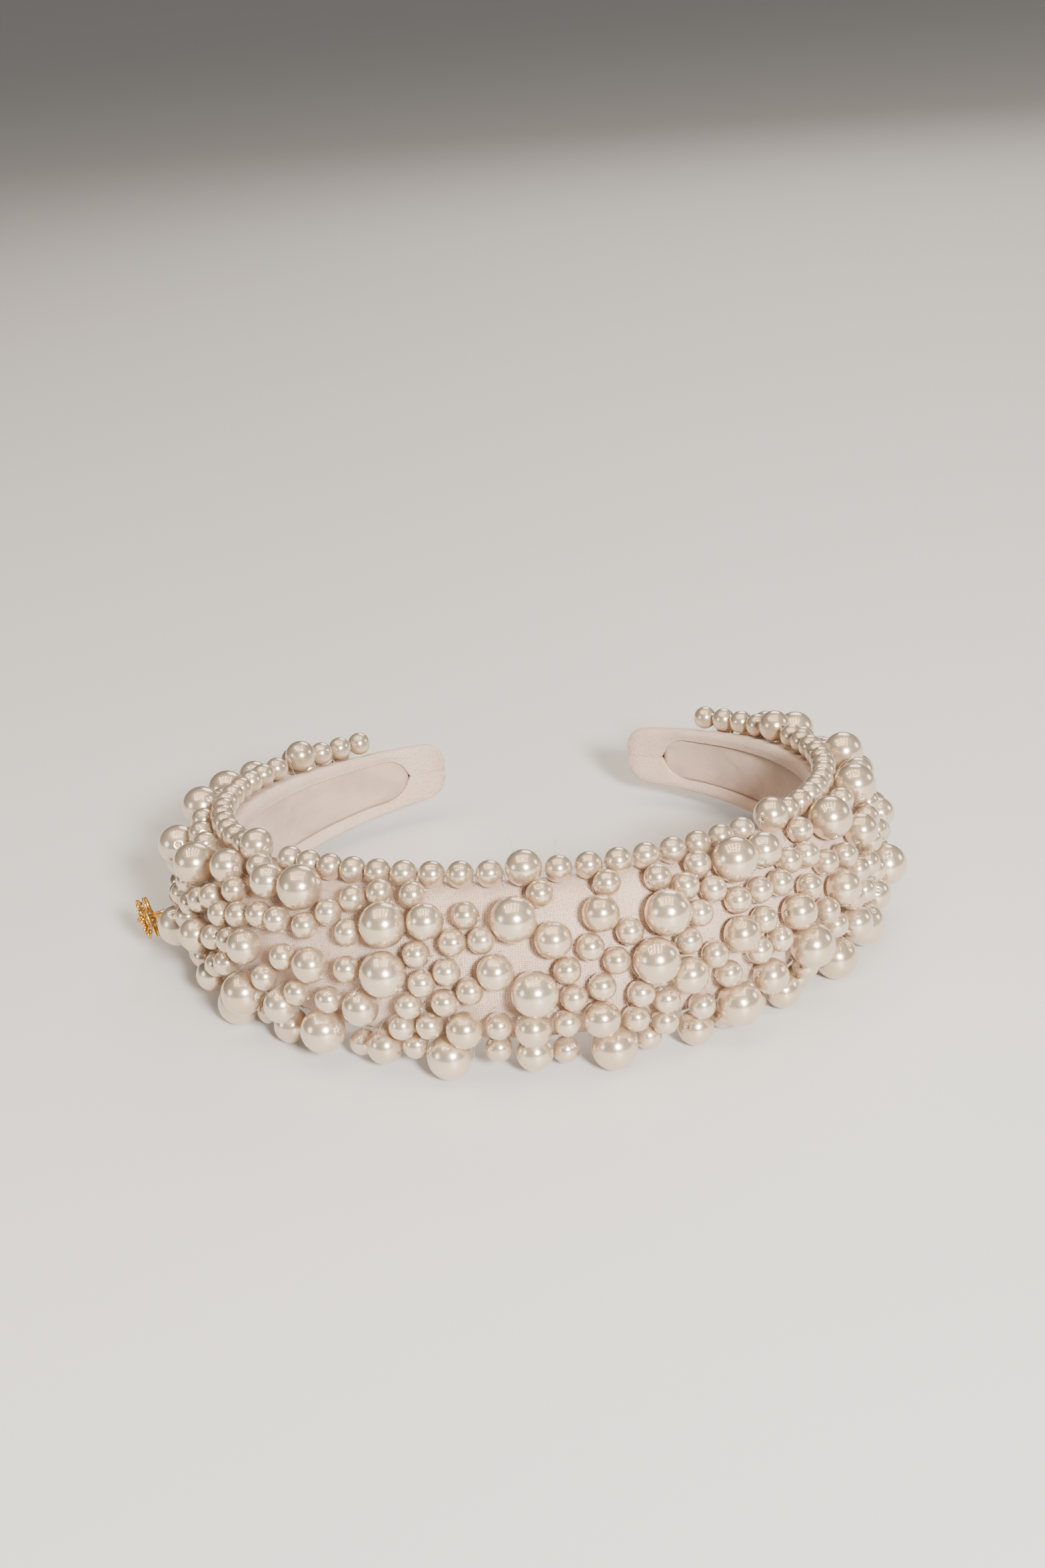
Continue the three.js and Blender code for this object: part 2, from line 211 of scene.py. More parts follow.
def spacings(bead, others):
    """Clear space between a pearl and each of the others, less the gap they keep."""
    centres = np.array([o.centre for o in others])
    radii = np.array([o.radius for o in others])
    return np.linalg.norm(centres - bead.centre, axis=1) - radii - bead.radius - PEARL_GAP


def fits(bead, others):
    return not others or bool((spacings(bead, others) >= 0).all())


def edge_row(row_deg, mediums, end):
    row = [bead_at("M", deg, row_deg) for deg in mediums]
    for side in (1, -1):
        deg = 0.0
        while deg <= end:
            bead = bead_at("s", side * deg, row_deg)
            if fits(bead, row):
                row.append(bead)
            deg += 0.1
    return row


def read_card():
    beads = []
    for card, side in ((CARD_LEFT, -1), (CARD_RIGHT, 1)):
        for row, line in enumerate(card):
            for column, mark in enumerate(line):
                if mark != ".":
                    beads.append(bead_at(mark, side * column * CARD_STEP, CARD_ROWS[row]))
    return beads


def slide(bead, move):
    """Moves a pearl on the dome by about the given vector."""
    step = 0.01
    here = on_band(bead.phi, bead.u, bead.radius)
    along = on_band(bead.phi + step, bead.u, bead.radius) - here
    across = on_band(bead.phi, bead.u + step, bead.radius) - here
    bead.phi += step * float(move @ along) / float(along @ along)
    bead.u += step * float(move @ across) / float(across @ across)
    bead.u = min(68 * DEG, max(-68 * DEG, bead.u))
    bead.seat()


def relax(beads, fixed):
    """Pushes crowded pearls apart along the dome, the smaller one giving way more."""
    others = beads + fixed
    centres = np.array([o.centre for o in others])
    radii = np.array([o.radius for o in others])
    for _ in range(80):
        for i, bead in enumerate(beads):
            start = 0
            while start < len(others):
                gaps = np.linalg.norm(centres[start:] - bead.centre, axis=1)
                lacks = radii[start:] + bead.radius + PEARL_GAP - gaps
                if start <= i:
                    lacks[i - start] = 0
                crowded = np.flatnonzero(lacks > 0)
                if not len(crowded):
                    break
                j = start + int(crowded[0])
                away = bead.centre - centres[j]
                away *= lacks[j - start] * radii[j] / (radii[j] + bead.radius) / np.linalg.norm(away)
                slide(bead, away)
                centres[i] = bead.centre
                start = j + 1


def fill(taken):
    """Small pearls go wherever there is room for one."""
    everything = list(taken)
    added = []
    for side in (-1, 1):
        for deg in range(0, ROW_END - 1):
            for row_deg in range(64, -65, -4):
                if deg < FILL_FROM[side] and row_deg > FILL_BELOW:
                    continue
                if deg > LOWER_END and row_deg < ARM_LOWEST:
                    continue
                bead = bead_at("s", side * deg, row_deg)
                if fits(bead, everything):
                    everything.append(bead)
                    added.append(bead)
    return added


def lay_out_pearls():
    upper = edge_row(UPPER_ROW, EDGE_MEDIUM, ROW_END)
    lower = edge_row(LOWER_ROW, [], LOWER_END)
    shank = Bead("", SHANK_ROOM, ROSETTE_PHI, ROSETTE_U)
    card = read_card()
    relax(card, upper + [shank])
    kept = []
    for bead in sorted(card, key=lambda b: -b.radius):
        if bool((spacings(bead, kept + upper) > -0.1).all()):
            kept.append(bead)
    lower_kept = [bead for bead in lower if fits(bead, kept)]
    return upper, lower_kept, kept + fill(kept + upper + lower_kept + [shank])


UPPER, LOWER, FIELD = lay_out_pearls()
EVERY_BEAD = UPPER + LOWER + FIELD
ALL_CENTRES = np.array([bead.centre for bead in EVERY_BEAD])
ALL_RADII = np.array([bead.radius for bead in EVERY_BEAD])


# ---- mesh helpers ----------------------------------------------------------------
def new_object(name, verts, faces, material, slot, attributes=None, uvs=None):
    """A smooth mesh from points in millimetres, riding on the body."""
    mesh = bpy.data.meshes.new(name)
    mesh.from_pydata((np.asarray(verts) + SHIFT) * MM, [], faces)
    mesh.polygons.foreach_set("use_smooth", [True] * len(mesh.polygons))
    for key, values in (attributes or {}).items():
        layer = mesh.attributes.new(key, "FLOAT", "POINT")
        layer.data.foreach_set("value", np.asarray(values, np.float32))
    if uvs is not None:
        layer = mesh.uv_layers.new(name="cloth")
        loops = np.zeros(len(mesh.loops), np.int32)
        mesh.loops.foreach_get("vertex_index", loops)
        layer.data.foreach_set("uv", np.asarray(uvs, np.float32)[loops].ravel())
    mesh.materials.append(material)
    mesh.update()
    piece = bpy.data.objects.new(name, mesh)
    bpy.context.scene.collection.objects.link(piece)
    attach(piece, "root")
    return piece


def loft(angles, section):
    """Rings of [depth, height] points joined along the band, closed at both ends."""
    rings = [[place(deg * DEG, r, a) for r, a in section(deg * DEG)] for deg in angles]
    count = len(rings[0])
    faces = []
    for i in range(len(rings) - 1):
        for j in range(count):
            a = i * count + j
            b = i * count + (j + 1) % count
            faces.append((a, a + count, b + count, b))
    last = (len(rings) - 1) * count
    faces.append(tuple(range(count)))
    faces.append(tuple(range(last + count - 1, last - 1, -1)))
    return np.array(rings).reshape(-1, 3), faces


def tube(path, radius, sides=6):
    """A closed round wire along a list of points."""
    path = np.asarray(path, float)
    along = np.gradient(path, axis=0)
    along /= np.linalg.norm(along, axis=1)[:, None]
    side = np.cross(along[0], [0.31, 0.27, 0.91])
    side /= np.linalg.norm(side)
    verts = []
    for point, direction in zip(path, along):
        side = side - direction * float(side @ direction)
        side /= np.linalg.norm(side)
        up = np.cross(direction, side)
        for k in range(sides):
            turn = 2 * math.pi * k / sides
            verts.append(point + radius * (math.cos(turn) * side + math.sin(turn) * up))
    faces = []
    for i in range(len(path) - 1):
        for k in range(sides):
            a = i * sides + k
            b = i * sides + (k + 1) % sides
            faces.append((a, b, b + sides, a + sides))
    faces.append(tuple(range(sides - 1, -1, -1)))
    faces.append(tuple(range(len(verts) - sides, len(verts))))
    return np.array(verts), faces


def merged(parts):
    """Several (verts, faces) lists as one."""
    verts = []
    faces = []
    base = 0
    for part_verts, part_faces in parts:
        verts.append(part_verts)
        faces += [tuple(base + i for i in face) for face in part_faces]
        base += len(part_verts)
    return np.vstack(verts), faces


# ---- material helpers ---------------------------------------------------------------
class Shader:
    """A Principled material and short calls for the nodes that feed it."""

    def __init__(self, name, **sockets):
        self.material = bpy.data.materials.new(name)
        self.material.use_nodes = True
        self.nodes = self.material.node_tree.nodes
        self.links = self.material.node_tree.links
        self.bsdf = self.nodes["Principled BSDF"]
        for key, value in sockets.items():
            self.bsdf.inputs[key.replace("_", " ")].default_value = value

    def node(self, kind, inputs=None, **settings):
        made = self.nodes.new(kind)
        for key, value in settings.items():
            setattr(made, key, value)
        for key, value in (inputs or {}).items():
            if isinstance(value, bpy.types.NodeSocket):
                self.links.new(value, made.inputs[key])
            else:
                made.inputs[key].default_value = value
        return made

    def scaled(self, source, factors):
        return self.node("ShaderNodeVectorMath", {0: source, 1: factors}, operation="MULTIPLY").outputs[0]

    def noise(self, source, scale, detail=3.0, rough=0.5):
        inputs = {"Vector": source, "Scale": scale, "Detail": detail, "Roughness": rough}
        return self.node("ShaderNodeTexNoise", inputs).outputs["Fac"]

    def spread(self, value, low, high, to_low=0.0, to_high=1.0):
        inputs = {"Value": value, "From Min": low, "From Max": high, "To Min": to_low, "To Max": to_high}
        return self.node("ShaderNodeMapRange", inputs).outputs["Result"]

    def mix(self, factor, first, second):
        made = self.node("ShaderNodeMix", data_type="RGBA")
        for socket, value in ((made.inputs[0], factor), (made.inputs[6], first), (made.inputs[7], second)):
            if isinstance(value, bpy.types.NodeSocket):
                self.links.new(value, socket)
            else:
                socket.default_value = value
        return made.outputs[2]

    def math(self, operation, first, second):
        return self.node("ShaderNodeMath", {0: first, 1: second}, operation=operation).outputs[0]

    def attribute(self, name):
        return self.node("ShaderNodeAttribute", attribute_name=name).outputs["Fac"]

    def feed(self, socket, source):
        self.links.new(source, self.bsdf.inputs[socket])

    def bump(self, height, distance, strength=1.0, under=None):
        made = self.node("ShaderNodeBump", {"Height": height, "Distance": distance, "Strength": strength})
        if under is not None:
            self.links.new(under, made.inputs["Normal"])
        return made.outputs["Normal"]


def object_place(shader):
    return shader.node("ShaderNodeTexCoord").outputs["Object"]


def pearl_material():
    """Cream lacquer with a satin lustre under a clear gloss, worn white round the drill holes."""
    s = Shader("pearl_lacquer", Metallic=0.74, Coat_Weight=1.0, Coat_Roughness=0.025, Coat_IOR=1.55,
               Sheen_Weight=0.12, Sheen_Roughness=0.2, Sheen_Tint=(1.0, 0.9, 0.76, 1))
    where = object_place(s)
    tone = s.attribute("tone")
    body = s.mix(tone, (0.64, 0.485, 0.32, 1), (0.76, 0.61, 0.44, 1))
    clouds = s.spread(s.noise(where, 420.0, 4.0, 0.6), 0.35, 0.7)
    body = s.mix(s.math("MULTIPLY", clouds, 0.3), body, (0.8, 0.67, 0.51, 1))
    chips = s.spread(s.noise(where, 1500.0, 2.0), 0.5, 0.62)
    worn = s.math("MULTIPLY", s.attribute("hole"), chips)
    s.feed("Base Color", s.mix(worn, body, (0.93, 0.91, 0.87, 1)))
    fine = s.noise(where, 2600.0, 2.0)
    rough = s.spread(fine, 0.3, 0.7, 0.19, 0.27)
    s.feed("Roughness", s.math("ADD", rough, s.math("MULTIPLY", worn, 0.4)))
    s.feed("Normal", s.bump(s.noise(where, 700.0, 3.0), 0.00003, 0.35))
    return s.material


def crepe_material():
    """Blush crepe with fine dark pits in rows, in millimetres along the cloth map."""
    s = Shader("blush_crepe", Sheen_Weight=0.25, Sheen_Roughness=0.5, Sheen_Tint=(1.0, 0.9, 0.84, 1),
               Specular_IOR_Level=0.3)
    cloth = s.node("ShaderNodeUVMap", uv_map="cloth").outputs["UV"]
    wander = s.node("ShaderNodeTexNoise", {"Vector": cloth, "Scale": 0.5, "Detail": 2.0}).outputs["Color"]
    drift = s.scaled(wander, (0.5, 0.5, 0.0))
    bent = s.node("ShaderNodeVectorMath", {0: cloth, 1: drift}, operation="ADD").outputs[0]
    rows = s.scaled(bent, (1.0, 1.25, 1.0))
    inputs = {"Vector": rows, "Scale": 1.75, "Randomness": 0.4}
    cells = s.node("ShaderNodeTexVoronoi", inputs, voronoi_dimensions="2D").outputs["Distance"]
    pits = s.spread(cells, 0.16, 0.42, 1.0, 0.0)
    patchy = s.spread(s.noise(cloth, 1.1, 2.0), 0.35, 0.65, 0.55, 1.0)
    pits = s.math("MULTIPLY", pits, patchy)
    tone = s.spread(s.noise(cloth, 0.09, 3.0), 0.35, 0.65)
    base = s.mix(tone, (0.66, 0.475, 0.365, 1), (0.73, 0.555, 0.44, 1))
    s.feed("Base Color", s.mix(s.math("MULTIPLY", pits, 0.8), base, (0.34, 0.2, 0.13, 1)))
    s.feed("Roughness", s.spread(pits, 0.0, 1.0, 0.72, 0.95))
    folds = s.bump(s.noise(cloth, 0.35, 3.0), 0.00025, 0.6)
    threads = s.math("SUBTRACT", s.noise(cloth, 5.5, 2.0), pits)
    s.feed("Normal", s.bump(threads, 0.00012, 1.0, folds))
    return s.material


def velvet_material():
    """Short-pile lining with soft crush marks where it has rubbed."""
    s = Shader("blush_velvet", Sheen_Weight=0.3, Sheen_Roughness=0.35, Sheen_Tint=(1.0, 0.88, 0.8, 1),
               Specular_IOR_Level=0.15)
    cloth = s.node("ShaderNodeUVMap", uv_map="cloth").outputs["UV"]
    crush = s.spread(s.noise(s.scaled(cloth, (0.6, 1.0, 1.0)), 0.11, 3.0, 0.6), 0.4, 0.62)
    pile = s.spread(s.noise(cloth, 7.0, 2.0), 0.3, 0.7)
    base = s.mix(crush, (0.55, 0.39, 0.3, 1), (0.42, 0.3, 0.235, 1))
    s.feed("Base Color", s.mix(s.math("MULTIPLY", pile, 0.3), base, (0.64, 0.48, 0.39, 1)))
    s.feed("Roughness", s.spread(crush, 0.0, 1.0, 0.95, 0.8))
    s.feed("Normal", s.bump(pile, 0.0001, 0.6, s.bump(crush, 0.0006, 0.4)))
    return s.material


def gold_material():
    """Warm cast gold in random brighter and darker patches, standing for rubbed edges and dark hollows."""
    s = Shader("warm_gold", Metallic=1.0)
    where = object_place(s)
    patina = s.spread(s.noise(where, 900.0, 4.0, 0.6), 0.4, 0.65)
    s.feed("Base Color", s.mix(patina, (0.86, 0.55, 0.16, 1), (0.55, 0.29, 0.06, 1)))
    s.feed("Roughness", s.spread(patina, 0.0, 1.0, 0.2, 0.42))
    s.feed("Normal", s.bump(s.noise(where, 2500.0, 3.0), 0.00006, 0.6))
    return s.material


def nylon_material():
    s = Shader("clear_nylon", Transmission_Weight=0.8, IOR=1.5)
    drawn = s.noise(object_place(s), 2200.0, 2.0)
    s.feed("Base Color", s.mix(drawn, (0.88, 0.84, 0.78, 1), (0.97, 0.95, 0.92, 1)))
    s.feed("Roughness", s.spread(drawn, 0.3, 0.7, 0.15, 0.35))
    return s.material


def plastic_material():
    s = Shader("moulded_plastic")
    grain = s.noise(object_place(s), 600.0, 3.0)
    s.feed("Base Color", s.mix(grain, (0.82, 0.8, 0.74, 1), (0.9, 0.88, 0.83, 1)))
    s.feed("Roughness", s.spread(grain, 0.3, 0.7, 0.4, 0.55))
    s.feed("Normal", s.bump(grain, 0.00005, 0.3))
    return s.material


def foam_material():
    s = Shader("open_foam")
    cells = s.node("ShaderNodeTexVoronoi", {"Vector": object_place(s), "Scale": 900.0}).outputs["Distance"]
    s.feed("Base Color", s.mix(cells, (0.7, 0.6, 0.38, 1), (0.95, 0.9, 0.7, 1)))
    s.feed("Roughness", s.spread(cells, 0.0, 1.0, 0.85, 1.0))
    s.feed("Normal", s.bump(cells, 0.0003, 0.8))
    return s.material


# ---- the padded cover --------------------------------------------------------------
ARC_POINTS = 41
MOUTH_ROUND_FROM = 143  # degrees from the crown where the lining's opening starts to round off
MOUTH_ROUND = 6.5  # degrees over which it closes
# Offsets along the radius and from the rim's edge of the points that roll the cloth over it
RIM_ROLL = [(-0.1, -0.05), (-0.45, -0.5), (-0.72, -1.2), (-0.85, -2.0), (-0.8, -2.9)]
LIP_POINTS = len(RIM_ROLL) + 5  # points between the dome and the back of the cloth, on each side


def tip_round(phi):
    into = (abs(phi) / DEG - (TIP_ANGLE - TIP_ROUND)) / TIP_ROUND
    return 1.0 if into <= 0 else max(0.1, 1 - min(1, into) ** 3.4) ** 0.4


def mouth_half(phi):
    """Half-width of the opening that shows the lining, rounded off before each tip."""
    into = (abs(phi) / DEG - MOUTH_ROUND_FROM) / MOUTH_ROUND
    if into <= 0:
        return lining_half(phi)
    return max(0.01, lining_half(phi) * math.sqrt(max(0.0, 1 - min(1, into) ** 2)))


def cover_section(phi):
    """Half-section and its mirror: dome, rolled rim, folded inner edge and the back of the cloth."""
    squeeze = tip_round(phi)
    half = half_width(phi) * squeeze
    height = dome(phi) * (0.35 + 0.65 * squeeze)
    opening = min(mouth_half(phi), half - 1.0 * squeeze)
    thin = COVER * (0.3 + 0.5 * squeeze)
    outside = []
    for i in range(ARC_POINTS):
        u = (-90 + 180 * i / (ARC_POINTS - 1)) * DEG
        outside.append((RIM * squeeze + height * math.cos(u), half * math.sin(u)))
    room = half - opening
    rim = []
    for depth, back in RIM_ROLL:
        rim.append((depth * squeeze, half + back * min(1.0, room / 5.2) * squeeze))
    shut = smooth(1 - opening / lining_half(phi))
    edge = [
        (-0.7 * squeeze, opening + 0.4 * room),
        (-(0.6 + 0.1 * shut) * squeeze, opening + 0.12 * room),
        (-(0.45 + 0.25 * shut) * squeeze, opening + 0.025 * room),
        (-(0.1 + 0.58 * shut) * squeeze, opening),
        (thin, opening + 0.02 * room),
    ]
    hollow = smooth((TIP_ANGLE - abs(phi) / DEG) / 0.5)  # the two faces of the cloth meet at each tip
    inside = []
    for i in range(9):
        u = (80 - 160 * i / 8) * DEG
        deep = RIM * squeeze + (height - thin) * math.cos(u)
        inside.append((thin + 0.02 + (deep - thin - 0.02) * hollow, (half - thin) * math.sin(u)))
    upper = rim + edge
    lower = [(r, -a) for r, a in reversed(upper)]
    return lower + outside + upper + inside


def cover_angles():
    straight = np.arange(-151.5, 151.6, 0.75)
    ends = [152.2, 152.9, 153.6, 154.3, 155.0, 155.6, 156.2,
            156.7, 157.2, 157.6, 157.95, 158.2, 158.4, TIP_ANGLE]
    return [-deg for deg in reversed(ends)] + list(straight) + ends


def cloth_map(angles, verts):
    """Millimetres along the band and across it."""
    rings = verts.reshape(len(angles), -1, 3)
    steps = np.linalg.norm(np.diff(rings, axis=1), axis=2)
    across = np.concatenate([np.zeros((len(angles), 1)), np.cumsum(steps, axis=1)], axis=1)
    middle = LIP_POINTS + ARC_POINTS // 2
    if rings.shape[1] > middle:
        across = across - across[:, middle:middle + 1]
    along = np.repeat(np.array(angles)[:, None] * DEG * (INNER_RADIUS + CROWN_DOME), rings.shape[1], axis=1)
    return np.stack([along, across], axis=-1).reshape(-1, 2)


def pinched(verts, angles):
    """The sewing pulls the cloth down a little under each pearl, and it stands up between them."""
    verts = verts.copy()
    count = len(verts) // len(angles)
    rings = verts.reshape(len(angles), count, 3)
    dome_points = rings[:, LIP_POINTS:LIP_POINTS + ARC_POINTS]
    shallow = np.zeros(dome_points.shape[:2])
    for bead in EVERY_BEAD:
        foot = on_band(bead.phi, bead.u, 0)
        near = np.linalg.norm(dome_points - foot, axis=2)
        pull = 0.32 + 0.08 * (bead.radius - 3)
        shallow = np.maximum(shallow, pull * np.exp(-(near / (0.55 * bead.radius)) ** 2))
    for i, deg in enumerate(angles):
        phi = deg * DEG
        for j in range(ARC_POINTS):
            u = (-90 + 180 * j / (ARC_POINTS - 1)) * DEG
            out = on_band(phi, u, 1) - on_band(phi, u, 0)
            dome_points[i, j] -= out * shallow[i, j]
    return verts


SEWN_RINGS = 20  # rings of points next to each tip that stay sewn
SWELL_FRAMES = 20
SWELL_CAP = 0.45 * MM


def swell(piece, pinned):
    """Runs a short cloth simulation under pressure, with the result kept within SWELL_CAP.

    With these settings it moves the cover by only 0.001 mm, so the padded shape is the one
    that cover_section and pinched give it.
    """
    group = piece.vertex_groups.new(name="sewn")
    for index, weight in enumerate(pinned):
        if weight > 0:
            group.add([index], float(weight), "REPLACE")
    before = np.array([v.co for v in piece.data.vertices])
    cloth = piece.modifiers.new("padding", "CLOTH")
    cloth.settings.vertex_group_mass = "sewn"
    cloth.settings.quality = 5
    cloth.settings.mass = 0.2
    cloth.settings.tension_stiffness = 12
    cloth.settings.compression_stiffness = 12
    cloth.settings.bending_stiffness = 0.4
    cloth.settings.use_pressure = True
    cloth.settings.uniform_pressure_force = 4
    cloth.settings.effector_weights.gravity = 0
    cloth.collision_settings.use_collision = False
    cloth.point_cache.frame_start = 1
    cloth.point_cache.frame_end = SWELL_FRAMES
    scene = bpy.context.scene
    for step in range(1, SWELL_FRAMES + 1):
        scene.frame_set(step)
    evaluated = piece.evaluated_get(bpy.context.evaluated_depsgraph_get())
    after = np.array([v.co for v in evaluated.data.vertices])
    piece.modifiers.remove(cloth)
    scene.frame_set(1)
    move = after - before
    move[~np.isfinite(move)] = 0
    size = np.linalg.norm(move, axis=1)
    move *= np.minimum(1, SWELL_CAP / np.maximum(size, 1e-9))[:, None]
    piece.data.vertices.foreach_set("co", (before + move).ravel())
    piece.vertex_groups.remove(group)
    piece.data.update()
    print("the cloth simulation moved the cover by at most", round(float(size.max()) * 1000, 4), "mm")


def make_cover():
    angles = cover_angles()
    verts, faces = loft(angles, cover_section)
    uvs = cloth_map(angles, verts)
    verts = pinched(verts, angles)
    cover = new_object("padded_cover", verts, faces, crepe_material(), "cover_fabric", uvs=uvs)
    count = len(verts) // len(angles)
    pinned = np.ones(len(verts))
    spot = verts.reshape(len(angles), count, 3)[:, LIP_POINTS + 1:LIP_POINTS + ARC_POINTS - 1]
    free = np.ones(spot.shape[:2], bool)
    for bead in EVERY_BEAD:
        foot = on_band(bead.phi, bead.u, 0)
        free &= np.linalg.norm(spot - foot, axis=2) > 0.5 * bead.radius
    free[:SEWN_RINGS] = False
    free[-SEWN_RINGS:] = False
    pinned.reshape(len(angles), count)[:, LIP_POINTS + 1:LIP_POINTS + ARC_POINTS - 1][free] = 0
    swell(cover, pinned)
    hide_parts("outer_cover")


def make_foam():
    def section(phi):
        half = half_width(phi) - COVER - FOAM_EASE
        height = dome(phi) - COVER - FOAM_EASE
        edge = math.acos((FOAM_BASE - RIM) / height)
        steps = [-edge + 2 * edge * i / 16 for i in range(17)]
        return [(RIM + height * math.cos(u), half * math.sin(u)) for u in steps]

    angles = list(np.arange(-FOAM_END, FOAM_END + 1, 2.5))
    foam = new_object("foam_padding", *loft(angles, section), foam_material(), "foam_padding")
    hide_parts("foam_pad")


def make_lining():
    """The lining sheet, slightly dished between its folded edges and rippled where it is crushed."""
    def section(phi):
        half = lining_half(phi) + 0.1
        front = []
        for i in range(15):
            t = -1 + 2 * i / 14
            ripple = 0.1 * math.sin(9.3 * phi + 2.1 * t) + 0.07 * math.sin(23 * phi - 3.3 * t)
            front.append((0.62 - 0.22 * (1 - t * t) + ripple * (1 - t * t), half * t))
        return front + [(1.15, half), (1.15, -half)]

    angles = list(np.arange(-149.6, 149.7, 1.1))
    verts, faces = loft(angles, section)
    lining = new_object("velvet_lining", verts, faces, velvet_material(), "lining_velvet",
                        uvs=cloth_map(angles, verts))
    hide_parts("inner_lining")


# ---- pearls --------------------------------------------------------------------------
HOLE = {"s": 0.42, "M": 0.5, "L": 0.55}
FINENESS = {"s": (28, 15), "M": (36, 19), "L": (44, 23)}


def drilled_ball(size):
    """A ball with a drill hole along its own Z axis: points, faces and how near each point is to a hole."""
    radius = SIZES[size]
    hole = HOLE[size]
    around, rings = FINENESS[size]
    edge = math.asin((hole + 0.1) / radius)
    profile = [(0.0, math.sqrt(radius**2 - hole**2) - 1.1), (hole, math.sqrt(radius**2 - hole**2) - 1.1),
               (hole, math.sqrt(radius**2 - hole**2) - 0.12)]
    marks = [1.0, 1.0, 1.0]
    for i in range(rings + 1):
        angle = edge + (math.pi - 2 * edge) * i / rings
        profile.append((radius * math.sin(angle), radius * math.cos(angle)))
        reach = min(angle, math.pi - angle) * radius
        marks.append(max(0.0, 1 - max(0.0, reach - hole) / 0.9))
    profile += [(r, -z) for r, z in reversed(profile[:3])]
    marks += marks[:3][::-1]
    verts = []
    near = []
    for (r, z), mark in zip(profile, marks):
        spots = 1 if r == 0 else around
        for k in range(spots):
            turn = 2 * math.pi * k / around
            verts.append((r * math.cos(turn), r * math.sin(turn), z))
            near.append(mark)
    faces = []
    for k in range(around):
        faces.append((0, 1 + k, 1 + (k + 1) % around))
    loops = len(profile) - 2
    for i in range(loops - 1):
        for k in range(around):
            a = 1 + i * around + k
            b = 1 + i * around + (k + 1) % around
            faces.append((a, a + around, b + around, b))
    top = len(verts) - 1
    base = 1 + (loops - 1) * around
    for k in range(around):
        faces.append((top, base + (k + 1) % around, base + k))
    return np.array(verts), faces, np.array(near)


BALLS = {size: drilled_ball(size) for size in SIZES}


def surface_axes(bead):
    """Along the band, across it, and outwards, at a pearl's foot."""
    here = on_band(bead.phi, bead.u, 0)
    along = on_band(bead.phi + 0.01, bead.u, 0) - here
    out = on_band(bead.phi, bead.u, 1) - here
    along /= np.linalg.norm(along)
    out /= np.linalg.norm(out)
    return along, np.cross(out, along), out


def hole_axis(bead, index, in_row):
    """Edge pearls are strung along the row. Others take the direction whose ends have most room."""
    along, across, out = surface_axes(bead)
    dice = random.Random(index)
    lift = dice.uniform(-0.15, 0.15) if not in_row else 0.0
    if in_row:
        choices = [0.0]
    else:
        turn = dice.uniform(0, math.pi)
        choices = [turn + math.pi * k / 6 for k in range(6)]
    best = None
    for turn in choices:
        axis = math.cos(turn) * along + math.sin(turn) * across + lift * out
        axis /= np.linalg.norm(axis)
        room = 1e9
        for end in (1, -1):
            spot = bead.centre + axis * end * (bead.radius + 0.6)
            gaps = np.linalg.norm(ALL_CENTRES - spot, axis=1) - ALL_RADII
            gaps[index] = 1e9
            room = min(room, float(gaps.min()))
        if best is None or room > best[0]:
            best = (room, axis)
    return best[1]


INDEX = {id(bead): i for i, bead in enumerate(EVERY_BEAD)}
IN_ROW = {id(bead) for bead in UPPER + LOWER}
AXES = {id(bead): hole_axis(bead, INDEX[id(bead)], id(bead) in IN_ROW) for bead in EVERY_BEAD}


def pearl_piece(name, beads, node, material):
    """One piece from all the pearls of one strand, each turned its own way."""
    parts = []
    tones = []
    holes = []
    for bead in beads:
        verts, faces, near = BALLS[bead.size]
        index = INDEX[id(bead)]
        dice = random.Random(7000 + index)
        turn = Vector((0, 0, 1)).rotation_difference(Vector(AXES[id(bead)])).to_matrix()
        spin = Matrix.Rotation(dice.uniform(0, 6.28), 3, "Z")
        parts.append((verts @ np.array(turn @ spin).T + bead.centre, faces))
        tones.append(np.full(len(verts), dice.uniform(0.1, 0.9)))
        holes.append(near * dice.choice((0.25, 0.5, 1.0)))
    verts, faces = merged(parts)
    attributes = {"tone": np.concatenate(tones), "hole": np.concatenate(holes)}
    piece = new_object(name, verts, faces, material, "pearl_shell", attributes)
    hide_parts(node)


def make_pearls():
    lacquer = pearl_material()
    large = sorted((bead for bead in FIELD if bead.size == "L"), key=lambda b: b.phi)
    for i, bead in enumerate(large):
        number = f"{i + 1:02d}"
        pearl_piece(f"large_pearl_{number}", [bead], f"pearl_10mm_{number}", lacquer)
    pearl_piece("upper_row_pearls", UPPER, "upper_edge_row", lacquer)
    sectors = {}
    for bead in LOWER + [b for b in FIELD if b.size != "L"]:
        share = min(3, max(-3, bead.phi / DEG / SECTOR))
        sectors.setdefault(math.floor(share + 0.5), []).append(bead)
    for key, beads in sorted(sectors.items()):
        side = f"left_{-key}" if key < 0 else f"right_{key}" if key > 0 else "front"
        pearl_piece(f"pearls_{side}", beads, f"pearl_cluster_{side}", lacquer)


# ---- sewing thread ----------------------------------------------------------------------
def thread_ends(bead):
    """Clear thread out of both drill holes and down into the cloth."""
    axis = AXES[id(bead)]
    out = surface_axes(bead)[2]
    flat = axis - out * float(axis @ out)
    paths = []
    for end in (1, -1):
        mouth = bead.centre + axis * end * (bead.radius - 0.5)
        bend = bead.centre + axis * end * (bead.radius + 0.22)
        reach = bead.centre + flat * end * (bead.radius + 0.1)
        drop = float((bead.centre - on_band(bead.phi, bead.u, 0)) @ out)
        low = reach - out * (drop + 0.7) - flat * end * 0.8
        middle = (bend + low) / 2 + flat * end * 0.25
        paths.append([mouth, bend - out * 0.08, middle, low])
    return paths


